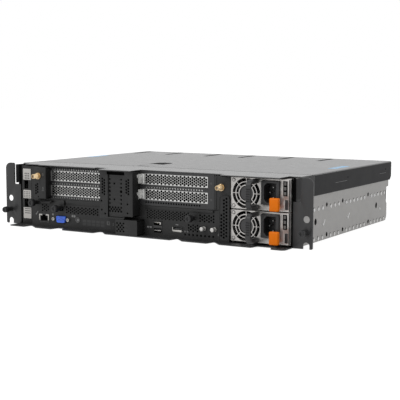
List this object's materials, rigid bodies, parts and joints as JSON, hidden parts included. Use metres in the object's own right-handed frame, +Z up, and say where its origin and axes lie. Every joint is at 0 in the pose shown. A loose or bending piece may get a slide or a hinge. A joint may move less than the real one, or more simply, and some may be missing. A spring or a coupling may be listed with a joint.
{
  "type": "edge server",
  "caption": "Short-depth rack server with front connectors, pull-out power supplies, perforated card slots, a row of rear fans and a sliding top cover.",
  "frame": {"origin": "on the underside, midway between the rack ears, in the plane of the ears' front faces", "axes": "+X to the right seen from the front, along the rack panel's width; the front faces -Y; +Z up"},
  "size_m": [0.482, 0.362, 0.0876],
  "materials": {
    "galvanised": "zinc-coated, faint spangle, satin",
    "black_paint": "fine satin powder coat",
    "slot_steel": "bright zinc, satin",
    "supply_steel": "warm zinc, satin",
    "black_plastic": "fine moulded texture",
    "black_screw": "black oxide, satin",
    "orange_plastic": "moulded, soft gloss",
    "blue_plastic": "moulded, soft gloss",
    "gold": "gold-plated, turned",
    "nickel": "nickel-plated, satin",
    "circuit_board": "green solder mask",
    "heatsink_aluminium": "extruded, bare"
  },
  "bodies": {
    "root": {"chassis_base": "galvanised", "psu_cage": "galvanised", "front_lip": "black_paint", "ear_left": "black_paint", "ear_right": "black_paint", "io_panel_left": "black_paint", "io_panel_right": "black_paint", "label_column": "black_paint", "riser_frame_left": "black_paint", "riser_frame_right": "black_paint", "antenna_bracket_left": "black_paint", "antenna_bracket_right": "black_paint", "centre_bracket": "black_paint", "centre_tray": "black_paint", "lower_blank_box": "black_paint", "vent_column": "black_paint", "slot_covers_left": "slot_steel", "slot_covers_right": "slot_steel", "fan_frames": "black_plastic", "vga_port": "blue_plastic", "sma_left": "gold", "sma_right": "gold", "vga_screws": "nickel", "ground_studs": "nickel", "rj45_port": "nickel", "usb_ports": "nickel", "display_port": "nickel", "system_board": "circuit_board", "riser_cards": "circuit_board", "power_board": "circuit_board", "memory_modules": "circuit_board", "cpu_heatsink": "heatsink_aluminium"},
    "cover": {"top_cover": "black_paint", "cover_latch_cup": "black_paint", "cover_latch_pin": "nickel"},
    "cover_latch": {"cover_latch_lever": "black_plastic"},
    "power_button": {"power_button": "black_plastic"},
    "ear_screw_left": {"ear_thumbscrew_left": "black_screw"},
    "ear_screw_right": {"ear_thumbscrew_right": "black_screw"},
    "module_screw_left_outer": {"thumbscrew_left_outer": "black_screw"},
    "module_screw_left_inner": {"thumbscrew_left_inner": "black_screw"},
    "module_screw_right": {"thumbscrew_right": "black_screw"},
    "psu_1": {"psu_1_case": "supply_steel", "psu_1_guard": "supply_steel", "psu_1_handle": "black_plastic", "psu_1_inlet": "black_plastic"},
    "psu_1_fan": {"psu_1_rotor": "black_plastic"},
    "psu_1_latch": {"psu_1_release": "orange_plastic"},
    "psu_2": {"psu_2_case": "supply_steel", "psu_2_guard": "supply_steel", "psu_2_handle": "black_plastic", "psu_2_inlet": "black_plastic"},
    "psu_2_fan": {"psu_2_rotor": "black_plastic"},
    "psu_2_latch": {"psu_2_release": "orange_plastic"},
    "fan_1": {"fan_rotor_1": "black_plastic"},
    "fan_2": {"fan_rotor_2": "black_plastic"},
    "fan_3": {"fan_rotor_3": "black_plastic"},
    "fan_4": {"fan_rotor_4": "black_plastic"},
    "fan_5": {"fan_rotor_5": "black_plastic"},
    "fan_6": {"fan_rotor_6": "black_plastic"}
  },
  "joints": [
    {"name": "cover_slide", "type": "slide", "parent": "root", "child": "cover", "axis": [0, 1, 0], "range_m": [0, 0.015]},
    {"name": "cover_latch_lift", "type": "hinge", "parent": "cover", "child": "cover_latch", "pos_m": [-0.042, 0.063, 0.08305], "axis": [1, 0, 0], "range_deg": [0, 65]},
    {"name": "power_button_press", "type": "slide", "parent": "root", "child": "power_button", "axis": [0, 1, 0], "range_m": [0, 0.001], "stiffness_N_per_m": 400},
    {"name": "ear_screw_left_turn", "type": "hinge", "parent": "root", "child": "ear_screw_left", "pos_m": [-0.23255, 0, 0.021], "axis": [0, 1, 0], "continuous": true},
    {"name": "ear_screw_right_turn", "type": "hinge", "parent": "root", "child": "ear_screw_right", "pos_m": [0.23255, 0, 0.021], "axis": [0, 1, 0], "continuous": true},
    {"name": "module_screw_left_outer_turn", "type": "hinge", "parent": "root", "child": "module_screw_left_outer", "pos_m": [-0.1796, 0, 0.0344], "axis": [0, 1, 0], "continuous": true},
    {"name": "module_screw_left_inner_turn", "type": "hinge", "parent": "root", "child": "module_screw_left_inner", "pos_m": [-0.1389, 0, 0.0285], "axis": [0, 1, 0], "continuous": true},
    {"name": "module_screw_right_turn", "type": "hinge", "parent": "root", "child": "module_screw_right", "pos_m": [0.0771, 0, 0.0291], "axis": [0, 1, 0], "continuous": true},
    {"name": "psu_1_pull", "type": "slide", "parent": "root", "child": "psu_1", "axis": [0, -1, 0], "range_m": [0, 0.19]},
    {"name": "psu_1_fan_spin", "type": "hinge", "parent": "psu_1", "child": "psu_1_fan", "pos_m": [0.1524, 0, 0.02375], "axis": [0, 1, 0], "continuous": true},
    {"name": "psu_1_latch_press", "type": "slide", "parent": "psu_1", "child": "psu_1_latch", "axis": [-1, 0, 0], "range_m": [0, 0.003], "stiffness_N_per_m": 300},
    {"name": "psu_2_pull", "type": "slide", "parent": "root", "child": "psu_2", "axis": [0, -1, 0], "range_m": [0, 0.19]},
    {"name": "psu_2_fan_spin", "type": "hinge", "parent": "psu_2", "child": "psu_2_fan", "pos_m": [0.1524, 0, 0.06485], "axis": [0, 1, 0], "continuous": true},
    {"name": "psu_2_latch_press", "type": "slide", "parent": "psu_2", "child": "psu_2_latch", "axis": [-1, 0, 0], "range_m": [0, 0.003], "stiffness_N_per_m": 300},
    {"name": "fan_1_spin", "type": "hinge", "parent": "root", "child": "fan_1", "pos_m": [-0.166, 0, 0.043], "axis": [0, 1, 0], "continuous": true},
    {"name": "fan_2_spin", "type": "hinge", "parent": "root", "child": "fan_2", "pos_m": [-0.0996, 0, 0.043], "axis": [0, 1, 0], "continuous": true},
    {"name": "fan_3_spin", "type": "hinge", "parent": "root", "child": "fan_3", "pos_m": [-0.0332, 0, 0.043], "axis": [0, 1, 0], "continuous": true},
    {"name": "fan_4_spin", "type": "hinge", "parent": "root", "child": "fan_4", "pos_m": [0.0332, 0, 0.043], "axis": [0, 1, 0], "continuous": true},
    {"name": "fan_5_spin", "type": "hinge", "parent": "root", "child": "fan_5", "pos_m": [0.0996, 0, 0.043], "axis": [0, 1, 0], "continuous": true},
    {"name": "fan_6_spin", "type": "hinge", "parent": "root", "child": "fan_6", "pos_m": [0.166, 0, 0.043], "axis": [0, 1, 0], "continuous": true}
  ]
}
